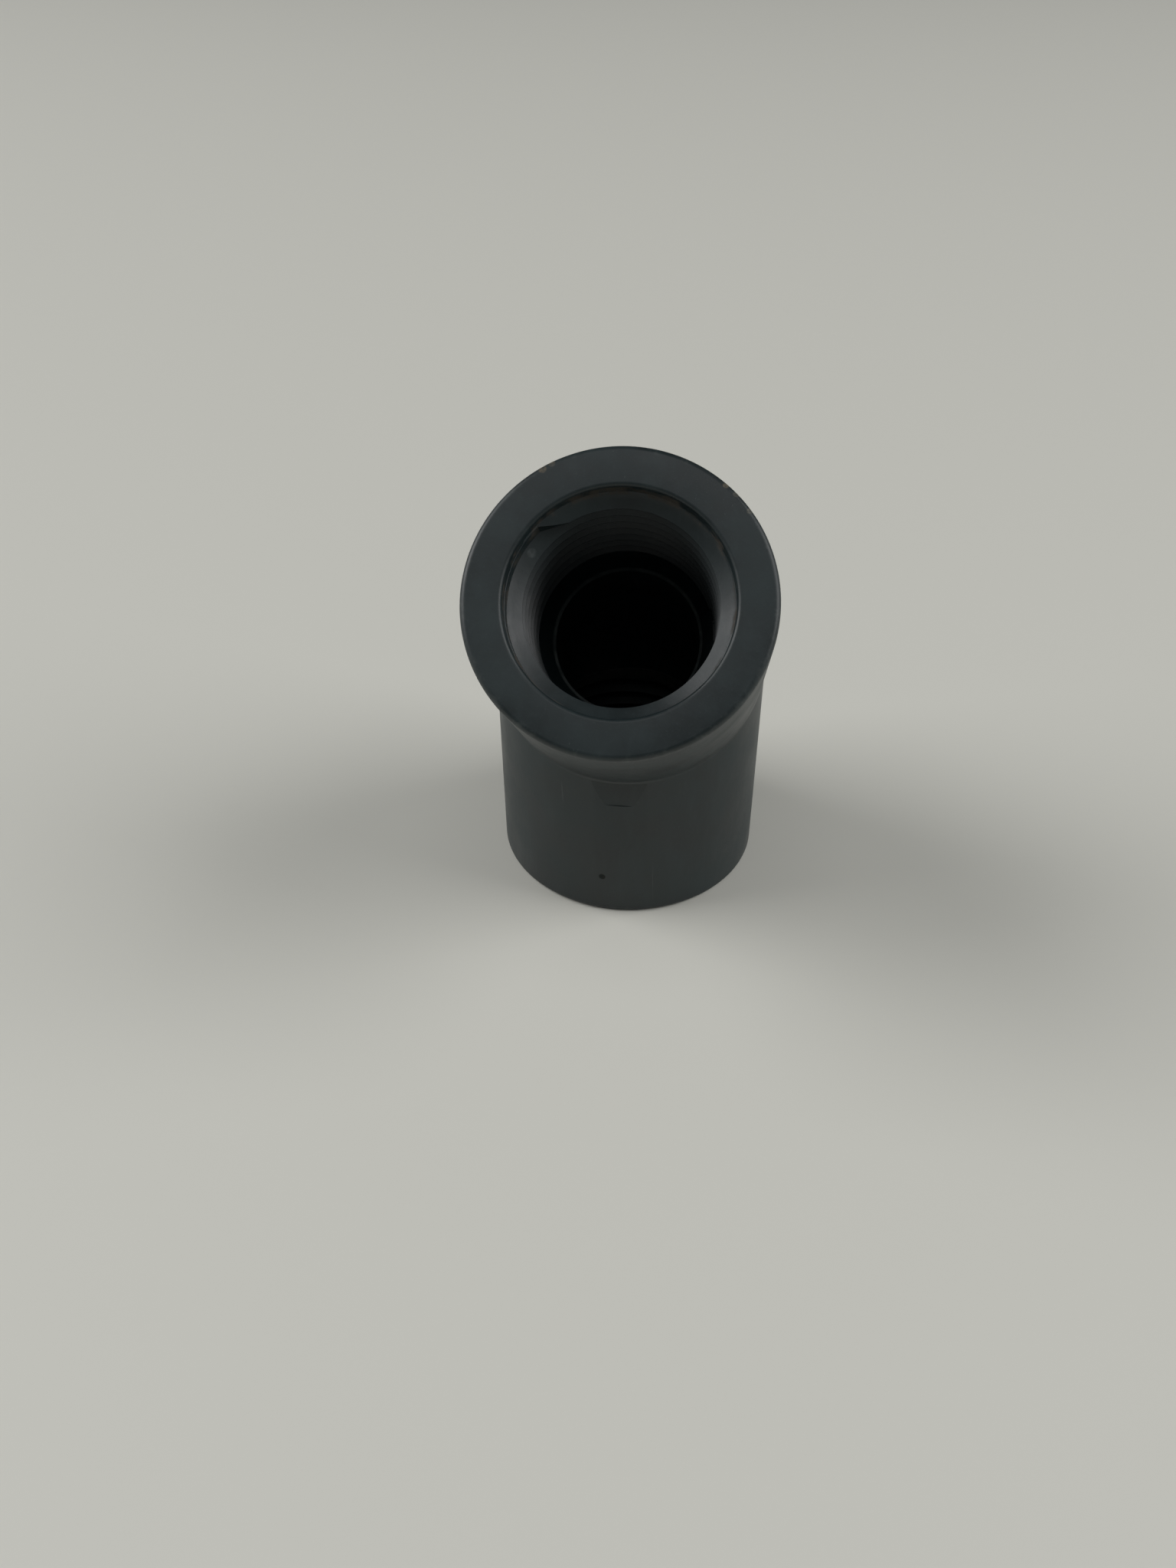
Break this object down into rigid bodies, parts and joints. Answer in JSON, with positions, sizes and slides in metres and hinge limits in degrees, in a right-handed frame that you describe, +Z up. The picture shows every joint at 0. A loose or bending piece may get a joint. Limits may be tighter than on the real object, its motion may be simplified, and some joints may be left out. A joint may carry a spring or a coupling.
{
  "type": "female threaded 45 degree pipe elbow",
  "caption": "Moulded plastic pipe elbow turning 45 degrees between two equal hubs, with a female taper pipe thread in each end.",
  "frame": {"origin": "middle of the bottom of the bounding box; the lower hub stands on the plane z = 0 with its axis 6.43 mm towards +Y", "axes": "+Z up along the lower hub's axis, the upper hub leans 45 degrees towards -Y, +X across both hubs"},
  "size_m": [0.0286, 0.0414, 0.0516],
  "materials": {
    "pvc": "satin"
  },
  "bodies": {
    "root": {"elbow_body": "pvc"}
  },
  "joints": []
}
